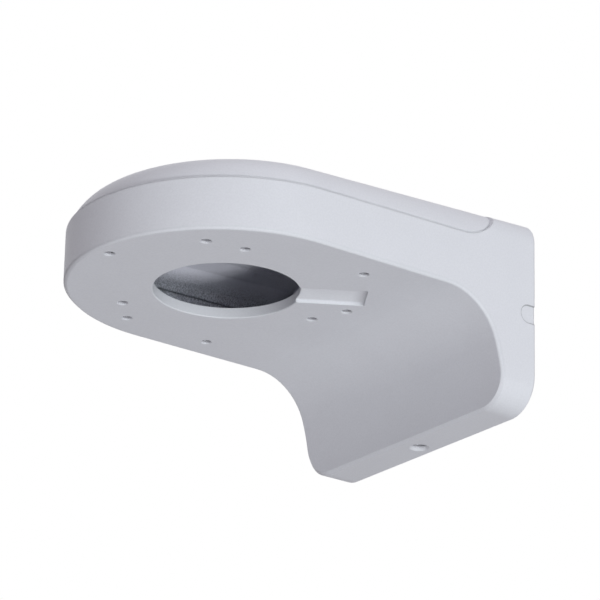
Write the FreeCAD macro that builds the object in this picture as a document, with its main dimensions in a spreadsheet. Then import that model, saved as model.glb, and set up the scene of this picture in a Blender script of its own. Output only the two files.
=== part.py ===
# Wall bracket for a small dome camera: a hollow cast body, a separate lid, the steel plate that the
# body hangs on, and the screws that hold them together.
# Millimetres. +Z is up, the wall is the plane Y = 0, and the arm reaches out along -Y.
# The origin is the middle of the four wall screw slots, on the wall.

import FreeCAD, Part

import math
import os
from types import SimpleNamespace

import Sketcher

# Driving dimensions, in millimetres and degrees
SIZES = {
    # Outside of the arm
    "half_width": 61.0,
    "arm_length": 160.0,
    "foot_drop": 33.0,
    "top_rise": 46.4,
    "top_fall": 2.35,
    "underside": 8.0,
    "skin": 3.0,
    "deck": 4.2,
    "deck_rear": 46.0,
    "edge_chamfer": 1.2,
    # Concave sweep from the underside down to the foot
    "foot_depth": 14.5,
    "sweep_radius": 24.0,
    "foot_radius": 79.0,
    "foot_corner": 13.4,
    # Seam between body and lid
    "seam_height": 30.6,
    "seam_fall": 0.97,
    "seam_gap": 0.25,
    "lid_end": 15.8,
    "lid_end_radius": 19.0,
    "lid_proud": 0.33,
    "lid_round": 18.0,
    # Section of the block behind the lid: a tight corner that runs into a wider curve
    "block_corner": 9.5,
    "block_turn": 60.0,
    "block_crown": 31.0,
    # Cable hole and the blind cable channel
    "cable_radius": 27.7,
    "cable_chamfer": 0.35,
    "channel_width": 15.0,
    "channel_depth": 1.5,
    "channel_round": 1.2,
    "channel_reach": 52.5,
    "channel_angle": 58.5,
    # Tapped holes for the camera, three circles of three
    "circle_large": 109.0,
    "circle_middle": 97.5,
    "circle_small": 84.0,
    "angle_large": 32.7,
    "angle_middle": 75.6,
    "angle_small": 93.6,
    "tap_radius": 1.95,
    "tap_chamfer": 0.25,
    # Lock screw in the foot
    "lock_radius": 2.9,
    "lock_chamfer": 1.0,
    "lock_setback": 6.5,
    "lock_boss_radius": 5.5,
    "lock_boss_height": 8.0,
    "lock_screw_length": 10.0,
    "lock_screw_depth": 3.2,
    "lock_socket": 3.0,
    "lock_socket_depth": 3.0,
    # Cable knock-out in the +X side
    "knockout_width": 7.1,
    "knockout_reach": 6.5,
    "knockout_height": 4.65,
    "knockout_depth": 0.4,
    "knockout_web": 1.0,
    # Wall plate
    "plate_thickness": 2.0,
    "plate_gap": 0.5,
    "plate_corner": 12.0,
    "slot_x": 45.0,
    "slot_z": 17.0,
    "slot_radius": 2.75,
    "slot_length": 10.0,
    "opening_radius": 18.0,
    "opening_height": 5.0,
    "notch_depth": 8.0,
    "notch_width": 10.0,
    "flange_reach": 10.8,
    "flange_half_width": 12.0,
    "flange_hole_gap": 0.8,
    # Rail of the body and hooks of the plate
    "rail_low": 27.0,
    "rail_height": 6.0,
    "rail_thickness": 3.0,
    "rail_gap": 0.6,
    "hook_x": 30.0,
    "hook_width": 14.0,
    "hook_lip": 5.0,
    "hook_gap": 0.3,
    "window_height": 12.0,
    # Lid screws, with their lugs and bosses
    "lug_top": 27.0,
    "lug_thickness": 4.0,
    "lug_radius": 5.0,
    "lug_inset": 13.0,
    "lug_rear": 28.0,
    "lug_angle": 50.0,
    "boss_radius": 4.0,
    "boss_bite": 0.35,
    "screw_radius": 1.95,
    "screw_fit": 0.05,
    "screw_clearance": 0.3,
    "screw_reach": 5.5,
    "screw_head_radius": 3.8,
    "screw_head_height": 2.4,
    "screw_socket": 2.5,
    "screw_socket_depth": 1.4,
    "pilot_spare": 0.5,
}


class Term:
    """A formula in the sheet's sizes, together with its present value."""

    def __init__(self, text, value):
        self.text = text
        self.value = value

    def join(self, sign, other, value):
        return Term("(%s %s %s)" % (self.text, sign, other.text), value)

    def __add__(self, other):
        other = term(other)
        return self.join("+", other, self.value + other.value)

    def __sub__(self, other):
        other = term(other)
        return self.join("-", other, self.value - other.value)

    def __mul__(self, other):
        other = term(other)
        return self.join("*", other, self.value * other.value)

    def __truediv__(self, other):
        other = term(other)
        return self.join("/", other, self.value / other.value)

    def __radd__(self, other):
        return term(other) + self

    def __rsub__(self, other):
        return term(other) - self

    def __rmul__(self, other):
        return term(other) * self

    def __neg__(self):
        return Term("(-%s)" % self.text, -self.value)


def term(item):
    return item if isinstance(item, Term) else Term("%g" % item, float(item))


def sine(angle):
    angle = term(angle)
    return Term("sin(%s)" % angle.text, math.sin(math.radians(angle.value)))


def cosine(angle):
    angle = term(angle)
    return Term("cos(%s)" % angle.text, math.cos(math.radians(angle.value)))


def tangent(angle):
    return sine(angle) / cosine(angle)


def root(inside):
    return Term("sqrt(%s)" % inside.text, math.sqrt(inside.value))


doc = FreeCAD.newDocument("camera_bracket")
sheet = doc.addObject("Spreadsheet::Sheet", "size")
for row, (alias, number) in enumerate(SIZES.items(), start=1):
    sheet.set("A%d" % row, alias)
    sheet.set("B%d" % row, str(number))
    sheet.setAlias("B%d" % row, alias)
doc.recompute()

size = SimpleNamespace(**{alias: Term("size.%s" % alias, number) for alias, number in SIZES.items()})
ZERO = term(0)

# Distance by which a cut runs past the material that it removes
PAST = 10

# Flats in the hollow of the lid, under its rounding
HOLLOW_FLATS = 3


# Places that more than one piece uses

END_Y = size.half_width - size.arm_length
SWEEP_SINE = (size.foot_drop + size.underside - size.sweep_radius) / (size.foot_radius - size.sweep_radius)
SWEEP_COSINE = root(1 - SWEEP_SINE * SWEEP_SINE)
FOOT_CENTRE_Y = -size.foot_depth - size.foot_radius
SWEEP_CENTRE_Y = FOOT_CENTRE_Y + (size.foot_radius - size.sweep_radius) * SWEEP_COSINE
SWEEP_CENTRE_Z = size.underside - size.sweep_radius


def seam_at(y):
    return size.seam_height + tangent(size.seam_fall) * y


def top_at(y):
    return size.top_rise + tangent(size.top_fall) * y


LID_CENTRE_Y = -size.lid_end - size.lid_end_radius
LID_CENTRE_Z = seam_at(LID_CENTRE_Y) + size.lid_end_radius / cosine(size.seam_fall)

RAIL_BACK = size.plate_thickness + size.rail_gap
HOOK_TOP = size.rail_low - size.hook_gap
FLANGE_LOW = -size.foot_drop + size.lock_boss_height + size.plate_gap
LUG_REACH = size.half_width - size.lug_inset


def polar(radius, angle):
    """The place at that radius and angle about the middle of the round free end."""
    return radius * cosine(angle), END_Y + radius * sine(angle)


LID_SCREWS = [
    (LUG_REACH, -size.lug_rear),
    (-LUG_REACH, -size.lug_rear),
    polar(LUG_REACH, -size.lug_angle),
    polar(LUG_REACH, size.lug_angle + 180),
]


# Sketches

def new_body(label):
    body = doc.addObject("PartDesign::Body", label)
    body.Label = label
    body.AllowCompound = True
    return body


def new_sketch(body, name, role, offset=None):
    """An empty sketch on one of the body's origin planes, moved along the plane's normal."""
    plane = [item for item in body.Origin.OriginFeatures if item.Role == role][0]
    sketch = body.newObject("Sketcher::SketchObject", name)
    sketch.AttachmentSupport = [(plane, "")]
    sketch.MapMode = "FlatFace"
    if offset is not None:
        sketch.setExpression("AttachmentOffset.Base.z", offset.text)
    return sketch


def place_along(sketch, edge, end, across, place):
    """Ties one coordinate of a point, x or y, to the sketch's origin. Zero puts it on the axis."""
    if place is ZERO:
        axis = -2 if across else -1
        sketch.addConstraint(Sketcher.Constraint("PointOnObject", edge, end, axis))
    else:
        kind = "DistanceX" if across else "DistanceY"
        index = sketch.addConstraint(Sketcher.Constraint(kind, -1, 1, edge, end, place.value))
        sketch.setExpression("Constraints[%d]" % index, place.text)


def place_point(sketch, edge, end, x, y):
    place_along(sketch, edge, end, True, x)
    place_along(sketch, edge, end, False, y)


def place_radius(sketch, edge, radius):
    index = sketch.addConstraint(Sketcher.Constraint("Radius", edge, radius.value))
    sketch.setExpression("Constraints[%d]" % index, radius.text)


def draw_loop(sketch, corners, arcs=None):
    """A closed outline through the corners. arcs[i] makes the edge after corner i an arc:
    (centre x, centre y, radius, 1 for counter-clockwise or -1 for clockwise)."""
    arcs = arcs or {}
    first = sketch.GeometryCount
    points = [FreeCAD.Vector(x.value, y.value, 0) for x, y in corners]
    count = len(corners)
    ends = []
    for i in range(count):
        start = points[i]
        stop = points[(i + 1) % count]
        if i in arcs:
            centre_x, centre_y, radius, turn = arcs[i]
            if turn < 0:
                start, stop = stop, start
            low = math.atan2(start.y - centre_y.value, start.x - centre_x.value)
            high = math.atan2(stop.y - centre_y.value, stop.x - centre_x.value)
            if high <= low:
                high += 2 * math.pi
            centre = FreeCAD.Vector(centre_x.value, centre_y.value, 0)
            circle = Part.Circle(centre, FreeCAD.Vector(0, 0, 1), radius.value)
            sketch.addGeometry(Part.ArcOfCircle(circle, low, high))
            ends.append((1, 2) if turn > 0 else (2, 1))
        else:
            sketch.addGeometry(Part.LineSegment(start, stop))
            ends.append((1, 2))
    for i in range(count):
        after = (i + 1) % count
        sketch.addConstraint(
            Sketcher.Constraint("Coincident", first + i, ends[i][1], first + after, ends[after][0])
        )
    for i, (x, y) in enumerate(corners):
        place_point(sketch, first + i, ends[i][0], x, y)
    for i, arc in arcs.items():
        chord = points[(i + 1) % count] - points[i]
        upright = abs(chord.y) > abs(chord.x)
        place_along(sketch, first + i, 3, upright, arc[0] if upright else arc[1])


def draw_circle(sketch, x, y, radius):
    circle = Part.Circle(FreeCAD.Vector(x.value, y.value, 0), FreeCAD.Vector(0, 0, 1), radius.value)
    edge = sketch.addGeometry(circle)
    place_point(sketch, edge, 3, x, y)
    place_radius(sketch, edge, radius)


def draw_box(sketch, left, right, low, high):
    draw_loop(sketch, [(left, low), (right, low), (right, high), (left, high)])


def draw_slot(sketch, x, y, length, radius, angle=0):
    """A slot with round ends. The place is the middle of its first end, and the length is
    between the middles of the two ends, along the angle."""
    far_x = x + length * cosine(angle)
    far_y = y + length * sine(angle)
    side_x = radius * sine(angle)
    side_y = radius * cosine(angle)
    corners = [
        (x + side_x, y - side_y),
        (far_x + side_x, far_y - side_y),
        (far_x - side_x, far_y + side_y),
        (x - side_x, y + side_y),
    ]
    draw_loop(sketch, corners, {1: (far_x, far_y, radius, 1), 3: (x, y, radius, 1)})


def draw_hexagon(sketch, x, y, across_flats):
    reach = across_flats / 2 / cosine(30)
    corners = [(x + reach * cosine(60 * i), y + reach * sine(60 * i)) for i in range(6)]
    draw_loop(sketch, corners)


# Features

def solid_volume(body):
    doc.recompute()
    return body.Shape.Volume if body.Tip else 0.0


def add_pad(body, sketch, name, length, symmetric=False, reverse=False):
    before = solid_volume(body)
    pad = body.newObject("PartDesign::Pad", name)
    pad.Profile = sketch
    pad.setExpression("Length", length.text)
    pad.SideType = "Symmetric" if symmetric else "One side"
    pad.Reversed = reverse
    if solid_volume(body) <= before:
        raise ValueError("%s adds nothing" % name)
    return pad


def add_pocket(body, sketch, name, length, symmetric=False, reverse=False):
    before = solid_volume(body)
    pocket = body.newObject("PartDesign::Pocket", name)
    pocket.Profile = sketch
    pocket.setExpression("Length", length.text)
    pocket.SideType = "Symmetric" if symmetric else "One side"
    pocket.Reversed = reverse
    if solid_volume(body) >= before:
        raise ValueError("%s cuts nothing" % name)
    return pocket


def add_dressing(body, kind, name, names, width):
    """A fillet or a chamfer on the edges named."""
    base = body.Tip
    feature = body.newObject("PartDesign::%s" % kind, name)
    feature.Base = (base, names)
    feature.setExpression("Radius" if kind == "Fillet" else "Size", width.text)
    doc.recompute()
    return feature


def add_tapped_holes(body, sketch, name, radius, chamfer, depth):
    """Holes with a chamfered mouth, from the sketch's plane up into the body."""
    before = solid_volume(body)
    hole = body.newObject("PartDesign::Hole", name)
    hole.Profile = sketch
    hole.setExpression("Diameter", (2 * radius).text)
    hole.HoleCutType = "Countersink"
    hole.setExpression("HoleCutDiameter", (2 * radius + 2 * chamfer).text)
    hole.HoleCutCountersinkAngle = 90
    hole.DepthType = "Dimension"
    hole.setExpression("Depth", depth.text)
    hole.DrillPoint = "Flat"
    hole.Reversed = True
    if solid_volume(body) >= before:
        raise ValueError("%s cuts nothing" % name)
    return hole


def near(a, b, slack=0.01):
    return abs(a - b) < slack


def edges_where(body, test):
    """Names of the edges whose ends and middle all pass the test."""
    names = []
    for i, edge in enumerate(body.Shape.Edges, start=1):
        middle = edge.valueAt((edge.FirstParameter + edge.LastParameter) / 2)
        points = [middle] + [vertex.Point for vertex in edge.Vertexes]
        if all(test(point) for point in points):
            names.append("Edge%d" % i)
    return names


def cut_round_end(body, name, radius, tip):
    """Rounds the free end in plan to a half circle of that radius."""
    sketch = new_sketch(body, name + "_plan", "XY_Plane")
    centre = radius - tip
    wide = radius + PAST
    far = -tip - PAST
    corners = [
        (-radius, centre),
        (radius, centre),
        (wide, centre),
        (wide, far),
        (-wide, far),
        (-wide, centre),
    ]
    draw_loop(sketch, corners, {0: (ZERO, centre, radius, 1)})
    add_pocket(body, sketch, name, 4 * (size.top_rise + size.foot_drop), symmetric=True)


def round_top_rim(body, name, radius):
    """Rounds the edge of the sloping top, along both sides and round the free end."""
    on_top = edges_where(body, lambda p: near(p.z, top_at(term(p.y)).value))
    at_wall = edges_where(body, lambda p: near(p.y, 0))
    add_dressing(body, "Fillet", name, [edge for edge in on_top if edge not in at_wall], radius)


def tilt(sketch, y, z):
    """Turns the sketch square to the sloping top, with its origin moved in its plane's own axes."""
    sketch.AttachmentOffset = FreeCAD.Placement(
        FreeCAD.Vector(0, y.value, z.value), FreeCAD.Rotation(FreeCAD.Vector(1, 0, 0), size.top_fall.value))
    sketch.setExpression("AttachmentOffset.Base.y", y.text)
    sketch.setExpression("AttachmentOffset.Base.z", z.text)
    sketch.setExpression("AttachmentOffset.Rotation.Angle", size.top_fall.text)


def draw_block_section(sketch, inset, top, low, foot_radius=None):
    """The section of the block behind the lid, that far inside its skin's outer face. Its top and
    its low side are at the heights given, and foot_radius rounds its low corners."""
    half = size.half_width - inset
    corner_x = size.half_width - size.block_corner
    crown_x = corner_x - (size.block_crown - size.block_corner) * cosine(size.block_turn)
    crown_y = top - size.block_crown
    corner_y = crown_y + (size.block_crown - size.block_corner) * sine(size.block_turn)
    corner = size.block_corner - inset
    crown = size.block_crown - inset
    meet_x = corner_x + corner * cosine(size.block_turn)
    meet_y = corner_y + corner * sine(size.block_turn)
    points = [
        (half, corner_y),
        (meet_x, meet_y),
        (crown_x, crown_y + crown),
        (-crown_x, crown_y + crown),
        (-meet_x, meet_y),
        (-half, corner_y),
    ]
    arcs = {
        0: (corner_x, corner_y, corner, 1),
        1: (crown_x, crown_y, crown, 1),
        3: (-crown_x, crown_y, crown, 1),
        4: (-corner_x, corner_y, corner, 1),
    }
    if foot_radius is None:
        points += [(-half, low), (half, low)]
    else:
        inner = half - foot_radius
        points += [(-half, low + foot_radius), (-inner, low), (inner, low), (half, low + foot_radius)]
        arcs[6] = (-inner, low + foot_radius, foot_radius, 1)
        arcs[8] = (inner, low + foot_radius, foot_radius, 1)
    draw_loop(sketch, points, arcs)


# Body

def casting_form(body, inset, back):
    """The casting as if it had no lid, that far inside its outer face and up to that place behind
    the wall: the block's section run along the sloping top, cut to its side view, with the round
    free end and the rounded corners of the foot."""
    section = new_sketch(body, body.Label + "_section", "XZ_Plane")
    tilt(section, top_at(PAST), term(-PAST))
    draw_block_section(section, inset, ZERO, -size.top_rise - size.foot_drop - 2 * term(PAST))
    add_pad(body, section, body.Label + "_run", size.arm_length + 1.5 * term(PAST))

    side = new_sketch(body, body.Label + "_side_view", "YZ_Plane")
    far = -size.arm_length - 4 * term(PAST)
    low = -size.foot_drop - 4 * term(PAST)
    behind = term(3 * PAST)
    high = size.top_rise + 2 * term(PAST)
    foot = -size.foot_drop + inset
    foot_radius = size.foot_radius + inset
    corners = [
        (back, high),
        (back, foot),
        (FOOT_CENTRE_Y + root(foot_radius * foot_radius - inset * inset), foot),
        (FOOT_CENTRE_Y + foot_radius * SWEEP_COSINE, -size.foot_drop + foot_radius * SWEEP_SINE),
        (SWEEP_CENTRE_Y, size.underside + inset),
        (far, size.underside + inset),
        (far, low),
        (behind, low),
        (behind, high),
    ]
    arcs = {
        2: (FOOT_CENTRE_Y, -size.foot_drop, foot_radius, 1),
        3: (SWEEP_CENTRE_Y, SWEEP_CENTRE_Z, size.sweep_radius + inset, 1),
    }
    draw_loop(side, corners, arcs)
    add_pocket(body, side, body.Label + "_under_arm", 4 * size.half_width, symmetric=True)
    cut_round_end(body, body.Label + "_round_end", size.half_width - inset, size.arm_length - inset)
    half = size.half_width - inset
    corners = edges_where(body, lambda p: near(p.z, foot.value) and near(abs(p.x), half.value))
    add_dressing(body, "Fillet", body.Label + "_foot_corners", corners, size.foot_corner - inset)


def cut_at_seam(body, name, gap, above):
    """Cuts away what lies above the seam, or below it, at that distance from it."""
    sketch = new_sketch(body, name + "_view", "YZ_Plane")
    radius = size.lid_end_radius - gap
    far = -size.arm_length - PAST
    low = -size.foot_drop - PAST
    high = size.top_rise + PAST
    corners = [
        (far, seam_at(far) + gap / cosine(size.seam_fall)),
        (LID_CENTRE_Y + radius * sine(size.seam_fall), LID_CENTRE_Z - radius * cosine(size.seam_fall)),
        (LID_CENTRE_Y + radius, LID_CENTRE_Z),
        (LID_CENTRE_Y + radius, high),
    ]
    if above:
        corners += [(far, high)]
    else:
        corners += [(term(PAST), high), (term(PAST), low), (far, low)]
    draw_loop(sketch, corners, {1: (LID_CENTRE_Y, LID_CENTRE_Z, radius, 1)})
    add_pocket(body, sketch, name, 3 * size.half_width, symmetric=True)


def body_edges(body):
    """Breaks the outer edge all round the underside, down the sweep and along the foot."""
    half = size.half_width.value
    low = -size.foot_drop.value
    end = FreeCAD.Vector(0, END_Y.value, 0)
    corner = size.foot_corner.value

    def distance(point, y, z):
        return math.hypot(point.y - y.value, point.z - z.value)

    def on_sweep(point):
        if point.y < SWEEP_CENTRE_Y.value:
            return near(point.z, size.underside.value)
        at_arm = near(distance(point, SWEEP_CENTRE_Y, SWEEP_CENTRE_Z), size.sweep_radius.value)
        return at_arm or near(distance(point, FOOT_CENTRE_Y, -size.foot_drop), size.foot_radius.value)

    def on_side(point):
        if point.y < end.y:
            return near(math.hypot(point.x, point.y - end.y), half)
        if point.z < low + corner and abs(point.x) > half - corner:
            return near(math.hypot(abs(point.x) - half + corner, point.z - low - corner), corner)
        return near(abs(point.x), half) or near(point.z, low)

    names = edges_where(body, lambda p: on_sweep(p) and on_side(p))
    add_dressing(body, "Chamfer", "outer_edge", names, size.edge_chamfer)


def camera_holes(diameter, angle):
    """Places of the three holes on one circle."""
    return [polar(diameter / 2, angle + 120 * turn) for turn in range(3)]


CAMERA_CIRCLES = {
    "large": camera_holes(size.circle_large, size.angle_large),
    "middle": camera_holes(size.circle_middle, size.angle_middle),
    "small": camera_holes(size.circle_small, size.angle_small),
}


def body_arm_details(body):
    """Thicker deck under the arm, cable hole, blind channel, and the tapped holes."""
    deck = new_sketch(body, "deck_plan", "XY_Plane", size.underside)
    reach = size.half_width - size.skin / 2
    corners = [(reach, -size.deck_rear), (-reach, -size.deck_rear), (-reach, END_Y), (reach, END_Y)]
    draw_loop(deck, corners, {2: (ZERO, END_Y, reach, 1)})
    add_pad(body, deck, "deck", size.deck)
    hole = new_sketch(body, "cable_hole_plan", "XY_Plane", size.underside)
    draw_circle(hole, ZERO, END_Y, size.cable_radius)
    add_pocket(body, hole, "cable_hole", 3 * size.deck, symmetric=True)
    underside = size.underside.value

    def on_hole(point):
        return near(math.hypot(point.x, point.y - END_Y.value), size.cable_radius.value)

    rim = edges_where(body, lambda p: near(p.z, underside) and on_hole(p))
    add_dressing(body, "Chamfer", "cable_hole_edge", rim, size.cable_chamfer)

    channel = new_sketch(body, "channel_plan", "XY_Plane", size.underside)
    across = size.channel_width / 2
    angle = size.channel_angle
    corners = []
    for radius, side in ((size.cable_radius / 2, -1), (size.channel_reach, -1),
                         (size.channel_reach, 1), (size.cable_radius / 2, 1)):
        x, y = polar(radius, angle)
        corners.append((x - side * across * sine(angle), y + side * across * cosine(angle)))
    draw_loop(channel, corners)
    add_pocket(body, channel, "channel", size.channel_depth, reverse=True)
    floor = edges_where(body, lambda p: near(p.z, underside + size.channel_depth.value) and not on_hole(p))
    add_dressing(body, "Fillet", "channel_floor", floor, size.channel_round)

    for name, places in CAMERA_CIRCLES.items():
        sketch = new_sketch(body, "taps_%s_plan" % name, "XY_Plane", size.underside)
        for x, y in places:
            draw_circle(sketch, x, y, size.tap_radius)
        add_tapped_holes(body, sketch, "taps_" + name, size.tap_radius, size.tap_chamfer, size.deck + PAST)


def body_foot_details(body):
    """Boss and hole for the lock screw, and the cable knock-out in the side."""
    boss = new_sketch(body, "lock_boss_plan", "XY_Plane", -size.foot_drop)
    draw_circle(boss, ZERO, -size.lock_setback, size.lock_boss_radius)
    add_pad(body, boss, "lock_boss", size.lock_boss_height)
    hole = new_sketch(body, "lock_hole_plan", "XY_Plane", -size.foot_drop)
    draw_circle(hole, ZERO, -size.lock_setback, size.lock_radius)
    add_tapped_holes(
        body, hole, "lock_hole", size.lock_radius, size.lock_chamfer, size.lock_boss_height + PAST)

    radius = size.knockout_width / 2
    inner_depth = size.skin - size.knockout_depth - size.knockout_web
    faces = (
        ("knockout_outside", size.half_width, size.knockout_depth, False),
        ("knockout_inside", size.half_width - size.skin, inner_depth, True),
    )
    for name, offset, depth, reverse in faces:
        sketch = new_sketch(body, name + "_view", "YZ_Plane", offset)
        draw_slot(
            sketch, radius - size.knockout_reach, size.knockout_height, size.knockout_reach, radius)
        add_pocket(body, sketch, name, depth, reverse=reverse)


def body_inner_details(body):
    """Rail that hangs on the wall plate, and the lugs that the lid is screwed to."""
    rail = new_sketch(body, "rail_plan", "XY_Plane", size.rail_low)
    reach = size.half_width - size.skin / 2
    draw_box(rail, -reach, reach, -RAIL_BACK - size.rail_thickness, -RAIL_BACK)
    add_pad(body, rail, "rail", size.rail_height)

    lugs = new_sketch(body, "lug_plan", "XY_Plane", size.lug_top)
    holes_radius = size.screw_radius + size.screw_clearance
    length = size.lug_inset - size.skin / 2 - size.lug_radius
    angles = (0, 180, -size.lug_angle, size.lug_angle + 180)
    for (x, y), angle in zip(LID_SCREWS, angles):
        draw_slot(lugs, x, y, length, size.lug_radius, angle)
    add_pad(body, lugs, "lugs", size.lug_thickness, reverse=True)
    holes = new_sketch(body, "lug_hole_plan", "XY_Plane", size.lug_top)
    for x, y in LID_SCREWS:
        draw_circle(holes, x, y, holes_radius)
    add_pocket(body, holes, "lug_holes", 3 * size.lug_thickness, symmetric=True)


def make_body():
    body = new_body("body")
    casting_form(body, ZERO, ZERO)
    core = new_body("core")
    casting_form(core, size.skin, term(PAST) / 2)
    hollow = body.newObject("PartDesign::Boolean", "hollow")
    hollow.Type = "Cut"
    hollow.setObjects([core])
    doc.recompute()
    cut_at_seam(body, "lid_space", ZERO, above=True)
    body_edges(body)
    body_inner_details(body)
    body_foot_details(body)
    body_arm_details(body)
    return body


# Lid

def hollow_lid(body, radius, centre):
    """Hollows the lid block to the skin, first along the arm and then round its free end. Under
    the rounding the hollow has flats, whose corners lie on the inside of the skin."""
    inner = radius - size.skin
    bend = size.lid_round - size.skin
    side = inner - bend
    turn = 90 / HOLLOW_FLATS
    right = []
    for i in range(HOLLOW_FLATS + 1):
        right.append((side + bend * cosine(turn * i), -size.lid_round + bend * sine(turn * i)))
    low = -size.top_rise - PAST
    full = [(-inner, low), (inner, low)] + right + [(-x, y) for x, y in reversed(right)]
    half = [(ZERO, low), (inner, low)] + right + [(ZERO, -size.skin)]
    place = (size.top_rise + centre * sine(size.top_fall), -centre * cosine(size.top_fall))
    along = new_sketch(body, "hollow_section", "XZ_Plane")
    tilt(along, *place)
    draw_loop(along, full)
    add_pocket(body, along, "hollow_along", PAST - centre)
    around = new_sketch(body, "hollow_half_section", "XZ_Plane")
    tilt(around, *place)
    draw_loop(around, half)
    before = solid_volume(body)
    groove = body.newObject("PartDesign::Groove", "hollow_end")
    groove.Profile = around
    groove.ReferenceAxis = (around, ["V_Axis"])
    groove.Angle = 360
    if solid_volume(body) >= before:
        raise ValueError("hollow_end cuts nothing")


def make_top_cover():
    """The lid is square to its sloping top. At the seam its round end lies over that of the body."""
    body = new_body("top_cover")
    radius = size.half_width + size.lid_proud
    drop = (top_at(END_Y) - seam_at(END_Y)) * cosine(size.top_fall)
    centre = (END_Y - drop * sine(size.top_fall)) / cosine(size.top_fall)
    outline = new_sketch(body, "lid_plan", "XY_Plane")
    tilt(outline, ZERO, size.top_rise)
    corners = [(radius, ZERO), (-radius, ZERO), (-radius, centre), (radius, centre)]
    draw_loop(outline, corners, {2: (ZERO, centre, radius, 1)})
    add_pad(body, outline, "lid_block", size.top_rise - size.underside, reverse=True)
    round_top_rim(body, "lid_rounding", size.lid_round)
    hollow_lid(body, radius, centre)
    cut_at_seam(body, "lid_seam", size.seam_gap, above=False)

    for name, places in (("rear", LID_SCREWS[:2]), ("front", LID_SCREWS[2:])):
        bosses = new_sketch(body, "lid_boss_%s_plan" % name, "XY_Plane", size.lug_top)
        for x, y in places:
            draw_circle(bosses, x, y, size.boss_radius)
        ceiling = top_at(places[0][1]) - size.skin
        add_pad(body, bosses, "lid_bosses_" + name, ceiling + size.boss_bite - size.lug_top)
    pilots = new_sketch(body, "pilot_plan", "XY_Plane", size.lug_top)
    for x, y in LID_SCREWS:
        draw_circle(pilots, x, y, size.screw_radius + size.screw_fit)
    add_pocket(body, pilots, "pilots", size.screw_reach + size.pilot_spare, reverse=True)
    return body


# Wall plate

def make_wall_plate():
    body = new_body("wall_plate")
    inset = size.skin + size.plate_gap
    outline = new_sketch(body, "plate_view", "XZ_Plane")
    draw_block_section(outline, inset, size.top_rise, FLANGE_LOW, size.plate_corner)
    add_pad(body, outline, "plate", size.plate_thickness)

    flange = new_sketch(body, "flange_plan", "XY_Plane", FLANGE_LOW)
    draw_box(flange, -size.flange_half_width, size.flange_half_width, -size.flange_reach, ZERO)
    add_pad(body, flange, "flange", size.plate_thickness)
    lock = new_sketch(body, "flange_hole_plan", "XY_Plane", FLANGE_LOW)
    draw_circle(lock, ZERO, -size.lock_setback, size.lock_radius + size.flange_hole_gap)
    add_pocket(body, lock, "flange_hole", 3 * size.plate_thickness, symmetric=True)

    lip_back = RAIL_BACK + size.rail_thickness + size.rail_gap
    for name, side in (("left", -1), ("right", 1)):
        low_x = side * size.hook_x - size.hook_width / 2
        high_x = side * size.hook_x + size.hook_width / 2
        shelf = new_sketch(body, "shelf_%s_plan" % name, "XY_Plane", HOOK_TOP)
        draw_box(shelf, low_x, high_x, -lip_back - size.plate_thickness, ZERO)
        add_pad(body, shelf, "shelf_" + name, size.plate_thickness, reverse=True)
        lip = new_sketch(body, "lip_%s_plan" % name, "XY_Plane", HOOK_TOP - size.plate_thickness)
        draw_box(lip, low_x, high_x, -lip_back - size.plate_thickness, -lip_back)
        add_pad(body, lip, "lip_" + name, size.plate_thickness + size.hook_lip)

    cuts = new_sketch(body, "plate_cuts", "XZ_Plane")
    draw_circle(cuts, ZERO, size.opening_height, size.opening_radius)
    straight = size.slot_length - 2 * size.slot_radius
    for x in (-size.slot_x, size.slot_x):
        for z in (-size.slot_z, size.slot_z):
            draw_slot(cuts, x - straight / 2, z, straight, size.slot_radius)
    for x in (-size.hook_x, size.hook_x):
        draw_box(
            cuts, x - size.hook_width / 2, x + size.hook_width / 2,
            HOOK_TOP, HOOK_TOP + size.window_height)
    radius = size.notch_width / 2
    draw_slot(
        cuts, size.half_width - inset - size.notch_depth + radius, size.knockout_height,
        size.notch_depth, radius)
    add_pocket(body, cuts, "openings", 2 * size.plate_thickness, symmetric=True)
    return body


# Screws

def make_lock_screw():
    """Socket set screw, run up the tapped hole in the foot and through the plate's flange."""
    body = new_body("lock_screw")
    low = -size.foot_drop + size.lock_screw_depth
    shank = new_sketch(body, "lock_screw_plan", "XY_Plane", low)
    draw_circle(shank, ZERO, -size.lock_setback, size.lock_radius - size.screw_fit)
    add_pad(body, shank, "lock_shank", size.lock_screw_length)
    socket = new_sketch(body, "lock_socket_plan", "XY_Plane", low)
    draw_hexagon(socket, ZERO, -size.lock_setback, size.lock_socket)
    add_pocket(body, socket, "lock_socket", size.lock_socket_depth, reverse=True)
    return body


def make_cover_screws():
    """Four socket button screws, from under the lugs up into the bosses of the lid."""
    body = new_body("cover_screws")
    seat = size.lug_top - size.lug_thickness
    heads = new_sketch(body, "screw_head_plan", "XY_Plane", seat)
    shanks = new_sketch(body, "screw_shank_plan", "XY_Plane", seat)
    sockets = new_sketch(body, "screw_socket_plan", "XY_Plane", seat - size.screw_head_height)
    for x, y in LID_SCREWS:
        draw_circle(heads, x, y, size.screw_head_radius)
        draw_circle(shanks, x, y, size.screw_radius)
        draw_hexagon(sockets, x, y, size.screw_socket)
    add_pad(body, heads, "screw_heads", size.screw_head_height, reverse=True)
    add_pad(body, shanks, "screw_shanks", size.lug_thickness + size.screw_reach)
    add_pocket(body, sockets, "screw_sockets", size.screw_socket_depth, reverse=True)
    return body


bodies = [make_body(), make_top_cover(), make_wall_plate(), make_lock_screw(), make_cover_screws()]
doc.recompute()

for item in doc.Objects:
    if "Invalid" in item.State or "Error" in item.State:
        raise ValueError("%s failed: %s" % (item.Name, item.State))
for body in bodies:
    if body.Shape.isNull() or not body.Shape.isValid() or not body.Shape.Solids:
        raise ValueError("%s has no valid solid" % body.Label)

os.makedirs("parts", exist_ok=True)
for body in bodies:
    body.Shape.exportStep("parts/%s.step" % body.Label)
    print(body.Label, len(body.Shape.Solids), "solids", round(body.Shape.Volume), "mm3")
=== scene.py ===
import math

import bpy
from mathutils import Matrix, Vector


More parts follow.
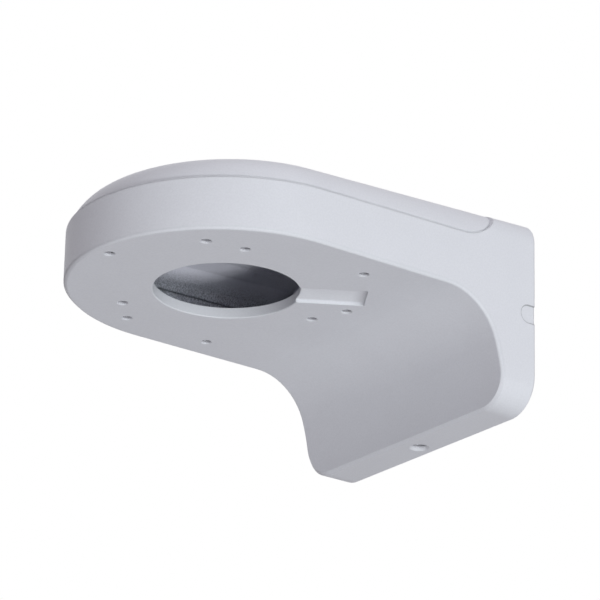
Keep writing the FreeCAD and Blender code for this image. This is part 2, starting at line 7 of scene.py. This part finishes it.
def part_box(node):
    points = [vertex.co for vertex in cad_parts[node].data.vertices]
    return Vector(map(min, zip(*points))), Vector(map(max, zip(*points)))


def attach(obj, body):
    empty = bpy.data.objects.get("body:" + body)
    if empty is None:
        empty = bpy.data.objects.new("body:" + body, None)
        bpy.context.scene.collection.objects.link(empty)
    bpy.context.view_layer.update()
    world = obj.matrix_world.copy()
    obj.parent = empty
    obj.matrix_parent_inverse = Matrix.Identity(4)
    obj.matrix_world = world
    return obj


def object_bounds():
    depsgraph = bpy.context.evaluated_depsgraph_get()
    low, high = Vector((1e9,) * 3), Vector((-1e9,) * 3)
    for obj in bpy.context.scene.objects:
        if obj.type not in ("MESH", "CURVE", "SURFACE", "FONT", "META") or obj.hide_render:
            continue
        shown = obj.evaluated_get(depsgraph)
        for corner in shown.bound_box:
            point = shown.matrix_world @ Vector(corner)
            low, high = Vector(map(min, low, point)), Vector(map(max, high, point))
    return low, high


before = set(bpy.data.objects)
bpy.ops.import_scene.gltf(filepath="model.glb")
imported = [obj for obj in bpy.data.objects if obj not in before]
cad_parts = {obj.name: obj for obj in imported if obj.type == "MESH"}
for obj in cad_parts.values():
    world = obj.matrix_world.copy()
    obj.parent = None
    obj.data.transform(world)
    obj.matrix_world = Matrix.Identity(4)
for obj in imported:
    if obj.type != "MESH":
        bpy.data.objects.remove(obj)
cad_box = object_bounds()
body_low, body_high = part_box("body")

# Camera, solved from the straight edges and the round holes in the photograph, and how near and far
# it sees
CAMERA_PLACE = (1.03232, -0.82082, -0.49440)
CAMERA_YAW = math.radians(53.784)
CAMERA_PITCH = math.radians(21.638)
CAMERA_ROLL = math.radians(1.347)
CAMERA_LENS = 217.48
CAMERA_NEAR = 0.01
CAMERA_FAR = 50.0
SENSOR_WIDTH = 36.0

# Room. The floor is greyer to the object than to the camera.
WHITE = (1.0, 1.0, 1.0, 1.0)
FLOOR_HEIGHT = -1.6
FLOOR_SIZE = 60.0
FLOOR_ROUGHNESS = 0.9
FLOOR_GREY = (0.46, 0.46, 0.46, 1.0)
FLOOR_SHOWN = (0.92, 0.92, 0.92, 1.0)
FLOOR_GLOW = 0.45
FILL_STRENGTH = 0.374
FILL_COLOUR = (0.96, 0.915, 1.0, 1.0)
BACKGROUND_STRENGTH = 1.0

# Lamps: name, direction from the bracket, side, power and colour
LAMP_DISTANCE = 2.0
LAMPS = (
    ("key", (0.966, -0.05, -0.24), 1.0, 11.3, (0.91, 0.99, 1.0)),
    ("low", (0.745, -0.265, -0.612), 0.35, 14.4, (0.965, 0.965, 1.0)),
    ("top", (0.08, 0.10, 1.0), 1.4, 9.6, (0.96, 0.95, 1.0)),
)

# Body, in metres, as the solids have it. END_Y is the centre of the round free end.
HALF_WIDTH = body_high.x
TOP_RISE = body_high.z
END_Y = HALF_WIDTH + body_low.y
TOP_FALL = math.radians(2.35)
UNDERSIDE = 0.008
DECK = 0.0042
SKIN = 0.003
EDGE_CHAMFER = 0.0012
BLOCK_CORNER = 0.0095
BLOCK_CORNER_Z = 0.0340
BLOCK_TURN = math.radians(60)
BLOCK_CROWN = 0.031
CABLE_RADIUS = 0.0277
CHANNEL_ANGLE = math.radians(58.5)
CHANNEL_HALF_WIDTH = 0.0075
CHANNEL_REACH = 0.0525
CHANNEL_DEPTH = 0.0015
KNOCKOUT_RADIUS = 0.00355
KNOCKOUT_Y = -0.00295
KNOCKOUT_Z = 0.00465

# Lid, and the seam below it
LID_HALF_WIDTH = 0.06133
LID_ROUND = 0.018
LID_END = 0.0158
LID_END_RADIUS = 0.019
SEAM_HEIGHT = 0.0306
SEAM_FALL = math.radians(0.97)
SEAM_GAP = 0.00025

# Lip of the lid that lies behind the seam
LIP_INSET = 0.00004
LIP_THICKNESS = 0.0006
LIP_BITE = 0.0001
LIP_END_STEPS = 48
LIP_ARC_STEPS = 10
LIP_TOP_STEPS = 20

# Tapped holes of the three circles: each circle's name and radius and the angle of its first hole, in
# degrees, then the radius of the thread's root and crest and its pitch, and its distance from the
# deck's two faces
TAP_CIRCLES = (("large", 0.0545, 32.7), ("middle", 0.04875, 75.6), ("small", 0.0420, 93.6))
TAP_THREAD = (0.00196, 0.00164, 0.0007)
TAP_LOW_GAP = 0.0003
TAP_HIGH_GAP = 0.0001

# Tapped hole of the lock screw
LOCK_THREAD = (0.00291, 0.00250, 0.0009)
LOCK_Y = -0.0065
LOCK_LOW = -0.0321
LOCK_HIGH = -0.0299

# Threads: steps in a turn, steps over which the ridge rises from the share LEAST_CREST to all of its
# height, and half widths of its root and crest, in pitches
THREAD_STEPS = 36
FADE_STEPS = 12
LEAST_CREST = 0.05
ROOT_SHARE = 0.44
CREST_SHARE = 0.07

# Paint: its colours and gloss, then each noise: the length of its lumps, the light that it leaves and
# the spread of values that this goes with
PAINT_COLOUR = (0.80, 0.815, 0.845, 1.0)
INSIDE_COLOUR = (0.79, 0.805, 0.865, 1.0)
PAINT_SPECULAR = 0.35
PAINT_ROUGHNESS = (0.50, 0.58)
NOISE_SPREAD = (0.3, 0.7)
MOTTLE_GRAIN = 0.030
MOTTLE_LIGHT = (0.985, 1.012)
SPECK_GRAIN = 0.0007
SPECK_LIGHT = (0.975, 1.02)
DULL_GRAIN = 0.0006
# Darker grain on the rough faces inside: partly their rough finish, partly painted shade in the hollow
DULL_GRAIN_AND_SHADE = (0.42, 1.0)
DULL_SPREAD = (0.35, 0.62)
PEEL_GRAIN = 0.0026

# Height of the paint's grain, on its smooth faces and on the rough ones inside
SPECK_DEPTH = (0.00002, 0.00022)
PEEL_DEPTH = (0.00003, 0.00020)

# Softness of the edges: of the small holes, beyond EDGE_REACH, in the hollow and in the channel
BEVEL_SAMPLES = 6
FINE_SOFTNESS = 0.0003
EDGE_SOFTNESS = 0.0010
EDGE_REACH = 0.0588
EDGE_FADE = 0.0005
HOLLOW_SOFTNESS = 0.0008
CHANNEL_SOFTNESS = 0.0012

# Lower edge: how far the outer part of its chamfer is turned outwards, and where, in chamfers
RIM_TURN = 0.65
RIM_INNER = 0.65
RIM_OUTER = 0.30
RIM_TOP = 1.5
RIM_WALL_GAP = 0.0015

# Channel: tilt of its dished floor at its two sides and at its end, which rises over DISH_RISE
DISH_SIDES = (0.60, 0.26)
DISH_END = 0.7
DISH_RISE = 0.0050

# Rough part of the lid's hollow, whose darker grain is partly painted shade, and which fades out below
# the crease under its ceiling
CREASE_TURN = math.radians(60)
CREASE_Z = TOP_RISE - LID_ROUND + (LID_ROUND - SKIN) * math.sin(CREASE_TURN)
ROUGH_START = 0.0065
ROUGH_STOP = 0.0010

# Painted shade of the groove pressed round the knock-out, and the slack of the masks at a face
LINE_WIDTH = 0.00030
LINE_SHADE = 0.62
MASK_SLACK = 0.0002

# Steels: colour, roughness, length of the drawn lines, and how these stretch along each axis
EVEN = (1.0, 1.0, 1.0)
PLATE_ZINC = ((0.62, 0.64, 0.67, 1.0), 0.34, 0.0006, (1.0, 1.0, 12.0))
SCREW_STEEL = ((0.50, 0.50, 0.51, 1.0), 0.30, 0.0004, EVEN)
COVER_SCREW_STEEL = ((0.52, 0.52, 0.53, 1.0), 0.30, 0.0004, EVEN)
# Cut thread: bare metal, its dark colour partly painted shade deep in the tapped holes
CUT_THREAD_AND_SHADE = ((0.46, 0.465, 0.49, 1.0), 0.50, 0.0004, EVEN)
LINES_ROUGHNESS = 0.14
LINES_DEPTH = 0.00001
CLOUD_GRAIN = 0.012
CLOUD_SPREAD = (0.35, 0.7)
CLOUD_SHADE = 0.86


# Camera and room

def add_object(name, data):
    item = bpy.data.objects.new(name, data)
    bpy.context.scene.collection.objects.link(item)
    return item


def add_mesh(name, vertices, faces, material):
    mesh = bpy.data.meshes.new(name)
    mesh.from_pydata(vertices, [], faces)
    mesh.update()
    mesh.materials.append(material)
    return add_object(name, mesh)


def make_camera():
    data = bpy.data.cameras.new("camera")
    data.lens = CAMERA_LENS
    data.sensor_width = SENSOR_WIDTH
    data.clip_start = CAMERA_NEAR
    data.clip_end = CAMERA_FAR
    camera = add_object("camera", data)
    turn = (
        Matrix.Rotation(CAMERA_YAW, 4, "Z")
        @ Matrix.Rotation(math.pi / 2 + CAMERA_PITCH, 4, "X")
        @ Matrix.Rotation(CAMERA_ROLL, 4, "Z")
    )
    camera.matrix_world = Matrix.Translation(CAMERA_PLACE) @ turn
    bpy.context.scene.camera = camera


def make_lamp(name, towards, side, power, colour):
    """A square area lamp in that direction from the bracket, facing it."""
    data = bpy.data.lights.new(name, "AREA")
    data.shape = "SQUARE"
    data.size = side
    data.energy = power
    data.color = colour
    lamp = add_object(name, data)
    low, high = cad_box
    direction = Vector(towards).normalized()
    lamp.location = (low + high) / 2 + direction * LAMP_DISTANCE
    lamp.rotation_euler = direction.to_track_quat("Z", "Y").to_euler()
    lamp.visible_camera = False


def shown_directly(tree):
    """1 for what the camera sees, itself or in gloss or through glass, and 0 for what only lights."""
    path = tree.nodes.new("ShaderNodeLightPath")
    shown = path.outputs["Is Camera Ray"]
    for ray in ("Is Glossy Ray", "Is Transmission Ray"):
        either = tree.nodes.new("ShaderNodeMath")
        either.operation = "MAXIMUM"
        tree.links.new(shown, either.inputs[0])
        tree.links.new(path.outputs[ray], either.inputs[1])
        shown = either.outputs[0]
    return shown


def make_world():
    """A pale fill from all round. What the camera, gloss or glass sees of it is white."""
    world = bpy.data.worlds.new("room")
    world.use_nodes = True
    bpy.context.scene.world = world
    nodes = world.node_tree.nodes
    links = world.node_tree.links
    nodes.clear()
    fill = nodes.new("ShaderNodeBackground")
    fill.inputs["Color"].default_value = FILL_COLOUR
    fill.inputs["Strength"].default_value = FILL_STRENGTH
    background = nodes.new("ShaderNodeBackground")
    background.inputs["Color"].default_value = WHITE
    background.inputs["Strength"].default_value = BACKGROUND_STRENGTH
    mix = nodes.new("ShaderNodeMixShader")
    links.new(shown_directly(world.node_tree), mix.inputs["Fac"])
    links.new(fill.outputs[0], mix.inputs[1])
    links.new(background.outputs[0], mix.inputs[2])
    output = nodes.new("ShaderNodeOutputWorld")
    links.new(mix.outputs[0], output.inputs["Surface"])


def floor_material():
    material = bpy.data.materials.new("floor")
    material.use_nodes = True
    nodes = material.node_tree.nodes
    links = material.node_tree.links
    shader = nodes["Principled BSDF"]
    shader.inputs["Roughness"].default_value = FLOOR_ROUGHNESS
    shader.inputs["Emission Color"].default_value = WHITE
    shown = shown_directly(material.node_tree)
    colour = nodes.new("ShaderNodeMix")
    colour.data_type = "RGBA"
    colour.inputs["A"].default_value = FLOOR_GREY
    colour.inputs["B"].default_value = FLOOR_SHOWN
    links.new(shown, colour.inputs["Factor"])
    links.new(colour.outputs["Result"], shader.inputs["Base Color"])
    glow = nodes.new("ShaderNodeMath")
    glow.operation = "MULTIPLY"
    glow.inputs[1].default_value = FLOOR_GLOW
    links.new(shown, glow.inputs[0])
    links.new(glow.outputs[0], shader.inputs["Emission Strength"])
    return material


def make_floor():
    half = FLOOR_SIZE / 2
    plan = ((-half, -half), (half, -half), (half, half), (-half, half))
    corners = [(x, y, FLOOR_HEIGHT) for x, y in plan]
    floor = add_mesh("floor", corners, [(0, 1, 2, 3)], floor_material())


# Materials

class Nodes:
    """Short forms for building a material's node tree. Lengths are in metres on the bracket."""

    def __init__(self, name):
        self.material = bpy.data.materials.new(name)
        self.material.use_nodes = True
        self.tree = self.material.node_tree
        self.shader = self.tree.nodes["Principled BSDF"]
        self.place = self.new("ShaderNodeTexCoord").outputs["Object"]

    def new(self, kind):
        return self.tree.nodes.new(kind)

    def link(self, source, target):
        self.tree.links.new(source, target)

    def set(self, socket, value):
        if isinstance(value, bpy.types.NodeSocket):
            self.link(value, socket)
        else:
            socket.default_value = value

    def math(self, operation, first, second=0.0):
        node = self.new("ShaderNodeMath")
        node.operation = operation
        self.set(node.inputs[0], first)
        self.set(node.inputs[1], second)
        return node.outputs[0]

    def minus(self, first, second):
        return self.math("SUBTRACT", first, second)

    def times(self, first, *others):
        for other in others:
            first = self.math("MULTIPLY", first, other)
        return first

    def less(self, first, second):
        """1 where the first is less than the second, otherwise 0."""
        return self.math("LESS_THAN", first, second)

    def more(self, first, second):
        return self.math("GREATER_THAN", first, second)

    def length(self, first, second):
        return self.math("SQRT", self.math("ADD", self.times(first, first), self.times(second, second)))

    def between(self, factor, low, high, start=0.0, stop=1.0):
        """low to high as the factor goes from start to stop."""
        node = self.new("ShaderNodeMapRange")
        node.clamp = True
        self.set(node.inputs["Value"], factor)
        self.set(node.inputs["From Min"], start)
        self.set(node.inputs["From Max"], stop)
        self.set(node.inputs["To Min"], low)
        self.set(node.inputs["To Max"], high)
        return node.outputs["Result"]

    def blend(self, factor, first, second):
        node = self.new("ShaderNodeMix")
        node.data_type = "RGBA"
        self.set(node.inputs["Factor"], factor)
        self.set(node.inputs["A"], first)
        self.set(node.inputs["B"], second)
        return node.outputs["Result"]

    def noise(self, grain, detail=2.0, roughness=0.5, stretch=EVEN):
        """Noise from 0 to 1 whose lumps are about that long. stretch makes them longer along an axis."""
        mapping = self.new("ShaderNodeMapping")
        mapping.inputs["Scale"].default_value = tuple(1.0 / way for way in stretch)
        self.link(self.place, mapping.inputs["Vector"])
        node = self.new("ShaderNodeTexNoise")
        node.inputs["Scale"].default_value = 1.0 / grain
        node.inputs["Detail"].default_value = detail
        node.inputs["Roughness"].default_value = roughness
        self.link(mapping.outputs[0], node.inputs["Vector"])
        return node.outputs["Fac"]

    def split(self, vector):
        node = self.new("ShaderNodeSeparateXYZ")
        self.link(vector, node.inputs[0])
        return node.outputs

    def level(self, x, y):
        """The vector with that x and y, and with z at 0."""
        node = self.new("ShaderNodeCombineXYZ")
        self.link(x, node.inputs["X"])
        self.link(y, node.inputs["Y"])
        return node.outputs[0]

    def unit(self, vector):
        node = self.new("ShaderNodeVectorMath")
        node.operation = "NORMALIZE"
        self.link(vector, node.inputs[0])
        return node.outputs["Vector"]

    def soften(self, width):
        """The normal of an edge that is rounded by that width."""
        node = self.new("ShaderNodeBevel")
        node.samples = BEVEL_SAMPLES
        self.set(node.inputs["Radius"], width)
        return node.outputs["Normal"]

    def bump(self, height, depth, under=None):
        """Raises the surface by height times depth, over another bump if one is given."""
        node = self.new("ShaderNodeBump")
        node.inputs["Strength"].default_value = 1.0
        self.set(node.inputs["Distance"], depth)
        self.link(height, node.inputs["Height"])
        if under is not None:
            self.link(under, node.inputs["Normal"])
        return node.outputs["Normal"]


class Place:
    """Where on the bracket a place lies. along is its Y from the centre of the round end, and ahead is
    the same beyond that centre and 0 behind it. reach is its distance from the arm's middle line or,
    beyond the centre, from the centre. height is its Z, made up for the fall of the top."""

    def __init__(self, nodes):
        self.x, self.y, self.z = nodes.split(nodes.place)
        self.along = nodes.minus(self.y, END_Y)
        self.ahead = nodes.math("MINIMUM", self.along, 0.0)
        self.reach = nodes.length(self.x, self.ahead)
        self.height = nodes.minus(self.z, nodes.times(self.y, math.tan(TOP_FALL)))


def inside_skin(nodes, at, corner_reach, corner_height, radius):
    """1 where a place is at least half a skin inside a rounded wall and ceiling."""
    out = nodes.math("MAXIMUM", nodes.minus(at.reach, corner_reach), 0.0)
    up = nodes.math("MAXIMUM", nodes.minus(at.height, corner_height), 0.0)
    return nodes.less(nodes.length(out, up), radius - SKIN / 2)


def beyond_hole(nodes, at):
    return nodes.more(nodes.length(at.x, at.along), CABLE_RADIUS + MASK_SLACK)


def body_hollow(nodes, at):
    """1 on the inner faces of the body, 0 outside and in the cable hole. All of them are rough, with
    darker grain that is partly painted shade.
    """
    within = inside_skin(nodes, at, HALF_WIDTH - BLOCK_CORNER, BLOCK_CORNER_Z, BLOCK_CORNER)
    above = nodes.more(at.z, UNDERSIDE + SKIN / 2)
    hollow = nodes.times(within, above, beyond_hole(nodes, at))
    return hollow, hollow


def lid_hollow(nodes, at):
    """1 on the inner faces of the lid, and 1 on those below its smoother ceiling, which are rough, with
    darker grain that is partly painted shade.
    """
    hollow = inside_skin(nodes, at, LID_HALF_WIDTH - LID_ROUND, TOP_RISE - LID_ROUND, LID_ROUND)
    below = nodes.between(at.height, 1.0, 0.0, CREASE_Z - ROUGH_START, CREASE_Z - ROUGH_STOP)
    return hollow, nodes.times(hollow, below)


def knockout_groove_shade(nodes, at):
    """1 on the painted shade of the groove pressed round the cable knock-out, on the +X side."""
    along = nodes.math("MINIMUM", nodes.minus(at.y, KNOCKOUT_Y), 0.0)
    reach = nodes.length(along, nodes.minus(at.z, KNOCKOUT_Z))
    off = nodes.math("ABSOLUTE", nodes.minus(reach, KNOCKOUT_RADIUS))
    side = nodes.more(at.x, HALF_WIDTH - SKIN / 2)
    return nodes.times(nodes.between(off, 1.0, 0.0, LINE_WIDTH / 2, LINE_WIDTH), side)


def locate_in_channel(nodes, at):
    """1 in the blind channel that runs from the cable hole, and a place's distances from the hole's
    middle, along the channel and across it."""
    cos, sin = math.cos(CHANNEL_ANGLE), math.sin(CHANNEL_ANGLE)
    along = nodes.math("ADD", nodes.times(at.x, cos), nodes.times(at.along, sin))
    across = nodes.minus(nodes.times(at.x, sin), nodes.times(at.along, cos))
    inside = nodes.times(
        nodes.less(nodes.math("ABSOLUTE", across), CHANNEL_HALF_WIDTH + MASK_SLACK),
        beyond_hole(nodes, at),
        nodes.less(along, CHANNEL_REACH + MASK_SLACK),
        nodes.more(along, 0.0),
        nodes.more(at.z, UNDERSIDE + MASK_SLACK / 2),
        nodes.less(at.z, UNDERSIDE + CHANNEL_DEPTH + MASK_SLACK),
    )
    return inside, along, across


def turn_rim(nodes, at, normal):
    """That normal, but turned outwards on the outer part of the chamfer along the lower edge, so that
    the edge shows as a narrow line."""
    inner = HALF_WIDTH - RIM_INNER * EDGE_CHAMFER
    outer = HALF_WIDTH - RIM_OUTER * EDGE_CHAMFER
    amount = nodes.times(
        nodes.between(at.reach, 0.0, RIM_TURN, inner, outer),
        nodes.less(at.z, UNDERSIDE + RIM_TOP * EDGE_CHAMFER),
        nodes.less(at.y, -RIM_WALL_GAP),
    )
    turned = nodes.new("ShaderNodeMix")
    turned.data_type = "VECTOR"
    nodes.link(amount, turned.inputs["Factor"])
    nodes.link(normal, turned.inputs["A"])
    nodes.link(nodes.unit(nodes.level(at.x, at.ahead)), turned.inputs["B"])
    return nodes.unit(turned.outputs["Result"])


def dish_channel(nodes, normal, inside, along, across):
    """That normal, tilted in the channel as on a dished floor that also rises to a rounded end."""
    cos, sin = math.cos(CHANNEL_ANGLE), math.sin(CHANNEL_ANGLE)
    side = nodes.between(across, *DISH_SIDES, -CHANNEL_HALF_WIDTH, CHANNEL_HALF_WIDTH)
    end = nodes.between(along, 0.0, DISH_END, CHANNEL_REACH - DISH_RISE, CHANNEL_REACH)
    side = nodes.times(inside, side)
    end = nodes.times(inside, end)
    tilt = nodes.level(
        nodes.minus(nodes.times(side, sin), nodes.times(end, cos)),
        nodes.minus(nodes.times(side, -cos), nodes.times(end, sin)),
    )
    tilted = nodes.new("ShaderNodeVectorMath")
    nodes.link(normal, tilted.inputs[0])
    nodes.link(tilt, tilted.inputs[1])
    return nodes.unit(tilted.outputs["Vector"])


def paint(name, find_hollow, on_body):
    """Fine-textured paint on a casting, thinner and rough in the hollow that find_hollow masks, where
    its darker grain is partly a rough finish and partly painted shade. The painted shade of the
    knock-out's groove, the lower edge and the channel are on the body alone."""
    nodes = Nodes(name)
    shader = nodes.shader
    at = Place(nodes)
    hollow, rough = find_hollow(nodes, at)

    mottle = nodes.noise(MOTTLE_GRAIN, detail=3.0)
    speck = nodes.noise(SPECK_GRAIN)
    # darker grain on the rough faces inside, partly painted shade in the hollow
    grain_and_shade = nodes.between(nodes.noise(DULL_GRAIN, detail=4.0, roughness=0.7), *DULL_GRAIN_AND_SHADE, *DULL_SPREAD)
    light = nodes.times(
        nodes.between(mottle, *MOTTLE_LIGHT, *NOISE_SPREAD),
        nodes.between(speck, *SPECK_LIGHT, *NOISE_SPREAD),
        nodes.between(rough, 1.0, grain_and_shade),
    )
    if on_body:
        # painted shade of the groove pressed round the knock-out, darkening the colour there
        light = nodes.times(light, nodes.between(knockout_groove_shade(nodes, at), 1.0, LINE_SHADE))
    tint = nodes.new("ShaderNodeVectorMath")
    tint.operation = "SCALE"
    nodes.link(nodes.blend(hollow, PAINT_COLOUR, INSIDE_COLOUR), tint.inputs[0])
    nodes.link(light, tint.inputs["Scale"])
    nodes.link(tint.outputs["Vector"], shader.inputs["Base Color"])
    nodes.link(nodes.between(mottle, *PAINT_ROUGHNESS), shader.inputs["Roughness"])
    shader.inputs["Specular IOR Level"].default_value = PAINT_SPECULAR

    edge = nodes.between(at.reach, 0.0, 1.0, EDGE_REACH - EDGE_FADE, EDGE_REACH)
    softness = nodes.between(edge, FINE_SOFTNESS, EDGE_SOFTNESS)
    softness = nodes.between(hollow, softness, HOLLOW_SOFTNESS)
    if on_body:
        inside, along, across = locate_in_channel(nodes, at)
        softness = nodes.between(inside, softness, CHANNEL_SOFTNESS)
    normal = nodes.soften(softness)
    if on_body:
        normal = turn_rim(nodes, at, normal)
        normal = dish_channel(nodes, normal, inside, along, across)
    normal = nodes.bump(speck, nodes.between(rough, *SPECK_DEPTH), normal)
    normal = nodes.bump(nodes.noise(PEEL_GRAIN), nodes.between(rough, *PEEL_DEPTH), normal)
    nodes.link(normal, shader.inputs["Normal"])
    return nodes.material


def metal(name, colour, roughness, grain, stretch):
    """Plated or plain steel with fine drawn lines and a faint cloudiness."""
    nodes = Nodes(name)
    shader = nodes.shader
    lines = nodes.noise(grain, detail=4.0, stretch=stretch)
    cloud = nodes.noise(CLOUD_GRAIN, detail=3.0)
    darker = tuple(part * CLOUD_SHADE for part in colour[:3]) + (1.0,)
    cloudy = nodes.blend(nodes.between(cloud, 0.0, 1.0, *CLOUD_SPREAD), darker, colour)
    nodes.link(cloudy, shader.inputs["Base Color"])
    shader.inputs["Metallic"].default_value = 1.0
    rough = nodes.between(lines, roughness, roughness + LINES_ROUGHNESS, *NOISE_SPREAD)
    nodes.link(rough, shader.inputs["Roughness"])
    nodes.link(nodes.bump(lines, LINES_DEPTH), shader.inputs["Normal"])
    return nodes.material


def dress(node, material):
    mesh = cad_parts[node].data
    mesh.materials.clear()
    mesh.materials.append(material)


# Threads of the tapped holes

def make_thread(name, x, y, low, high, size, material):
    """A helical ridge up a hole, from low to high, that fades out at both ends. Its root is just
    inside the wall of the hole."""
    root, crest, pitch = size
    steps = int((high - low - pitch) / pitch * THREAD_STEPS)
    vertices = []
    faces = []
    for i in range(steps + 1):
        angle = 2 * math.pi * i / THREAD_STEPS
        middle = low + pitch / 2 + pitch * i / THREAD_STEPS
        fade = min(1.0, i / FADE_STEPS, (steps - i) / FADE_STEPS)
        top = root - (root - crest) * max(fade, LEAST_CREST)
        section = ((root, -ROOT_SHARE), (top, -CREST_SHARE), (top, CREST_SHARE), (root, ROOT_SHARE))
        for radius, height in section:
            vertices.append((
                x + radius * math.cos(angle), y + radius * math.sin(angle), middle + height * pitch))
    for i in range(steps):
        for k in range(4):
            a = 4 * i + k
            b = 4 * i + (k + 1) % 4
            faces.append((a, b, b + 4, a + 4))
    last = 4 * steps
    faces.append((3, 2, 1, 0))
    faces.append((last, last + 1, last + 2, last + 3))
    piece = add_mesh(name, vertices, faces, material)
    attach(piece, "root")


def make_threads(material):
    low = UNDERSIDE + TAP_LOW_GAP
    high = UNDERSIDE + DECK - TAP_HIGH_GAP
    for circle, radius, start in TAP_CIRCLES:
        for turn in range(3):
            angle = math.radians(start + 120 * turn)
            x = radius * math.cos(angle)
            y = END_Y + radius * math.sin(angle)
            make_thread("thread_%s_%d" % (circle, turn + 1), x, y, low, high, TAP_THREAD, material)
    make_thread("thread_lock", 0.0, LOCK_Y, LOCK_LOW, LOCK_HIGH, LOCK_THREAD, material)


# Lip behind the seam

def seam_at(y):
    return SEAM_HEIGHT + math.tan(SEAM_FALL) * y


def side_depth():
    """How far below the sloping top the block's rounding begins."""
    return BLOCK_CROWN - (BLOCK_CROWN - BLOCK_CORNER) * math.sin(BLOCK_TURN)


def section_reach(depth, inset):
    """How far the lower of lid and block reaches sideways, that deep below the sloping top."""
    corner_x = HALF_WIDTH - BLOCK_CORNER
    crown_x = corner_x - (BLOCK_CROWN - BLOCK_CORNER) * math.cos(BLOCK_TURN)
    corner = BLOCK_CORNER - inset
    up = max(0.0, side_depth() - depth)
    if up < corner * math.sin(BLOCK_TURN):
        block = corner_x + math.sqrt(corner ** 2 - up ** 2)
    else:
        block = crown_x + math.sqrt(max(0.0, (BLOCK_CROWN - inset) ** 2 - (BLOCK_CROWN - depth) ** 2))
    lid_up = max(0.0, LID_ROUND - depth)
    lid = LID_HALF_WIDTH - LID_ROUND + math.sqrt(max(0.0, (LID_ROUND - inset) ** 2 - lid_up ** 2))
    return min(block, lid)


def seam_half(inset):
    """Pairs of places on the two sides of the seam, the body's first, that far inside the faces, from
    the middle of the free end along the +X side and up the curve at the lid's end."""
    half = HALF_WIDTH - inset
    centre_y = -LID_END - LID_END_RADIUS
    centre_z = seam_at(centre_y) + LID_END_RADIUS / math.cos(SEAM_FALL)
    centre_depth = centre_y * math.sin(TOP_FALL) - (centre_z - TOP_RISE) * math.cos(TOP_FALL)
    radii = (LID_END_RADIUS + LIP_BITE, LID_END_RADIUS - SEAM_GAP - LIP_BITE)
    gap_height = SEAM_GAP / math.cos(SEAM_FALL)

    def on_curve(x, radius, angle):
        return x, centre_y + radius * math.sin(angle), centre_z - radius * math.cos(angle)

    pairs = []
    for i in range(LIP_END_STEPS + 1):
        angle = math.pi / 2 * (i / LIP_END_STEPS - 1)
        x = half * math.cos(angle)
        y = END_Y + half * math.sin(angle)
        low = seam_at(y)
        pairs.append(((x, y, low - LIP_BITE), (x, y, low + gap_height + LIP_BITE)))
    side_end = TOP_FALL + math.acos((side_depth() - centre_depth) / LID_END_RADIUS)
    for i in range(LIP_ARC_STEPS + 1):
        angle = SEAM_FALL + (side_end - SEAM_FALL) * i / (LIP_ARC_STEPS + 1)
        pairs.append(tuple(on_curve(half, radius, angle) for radius in radii))
    for i in range(LIP_TOP_STEPS + 1):
        depth = inset + (side_depth() - inset) * (1 - i / LIP_TOP_STEPS) ** 2
        x = section_reach(depth, inset)
        angles = [TOP_FALL + math.acos(min(1.0, (depth - centre_depth) / radius)) for radius in radii]
        pairs.append(tuple(on_curve(x, radius, angle) for radius, angle in zip(radii, angles)))
    return pairs


def make_lip(material):
    """A closed bar all round the seam, whose edges lie just inside body and lid, so that the gap is
    shallow."""
    loops = []
    for inset in (LIP_INSET, LIP_INSET + LIP_THICKNESS):
        half = seam_half(inset)
        mirrored = [tuple((-x, y, z) for x, y, z in pair) for pair in reversed(half[1:])]
        loops.append(half + mirrored)
    vertices = []
    for outer, inner in zip(*loops):
        vertices += [outer[0], outer[1], inner[1], inner[0]]
    count = len(loops[0])
    faces = []
    for i in range(count):
        after = (i + 1) % count
        for k in range(4):
            side = (k + 1) % 4
            faces.append((4 * i + k, 4 * after + k, 4 * after + side, 4 * i + side))
    piece = add_mesh("seam_lip", vertices, faces, material)
    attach(piece, "root")


make_camera()
make_world()
make_floor()
for lamp in LAMPS:
    make_lamp(*lamp)

dress("body", paint("body_paint", body_hollow, on_body=True))
cover_paint = paint("cover_paint", lid_hollow, on_body=False)
dress("top_cover", cover_paint)
dress("wall_plate", metal("plate_zinc", *PLATE_ZINC))
dress("lock_screw", metal("screw_steel", *SCREW_STEEL))
dress("cover_screws", metal("cover_screw_steel", *COVER_SCREW_STEEL))
# threads in bare metal, darkened partly as painted shade inside the holes
make_threads(metal("cut_thread_and_shade", *CUT_THREAD_AND_SHADE))
make_lip(cover_paint)

bpy.context.scene.view_settings.view_transform = "Standard"
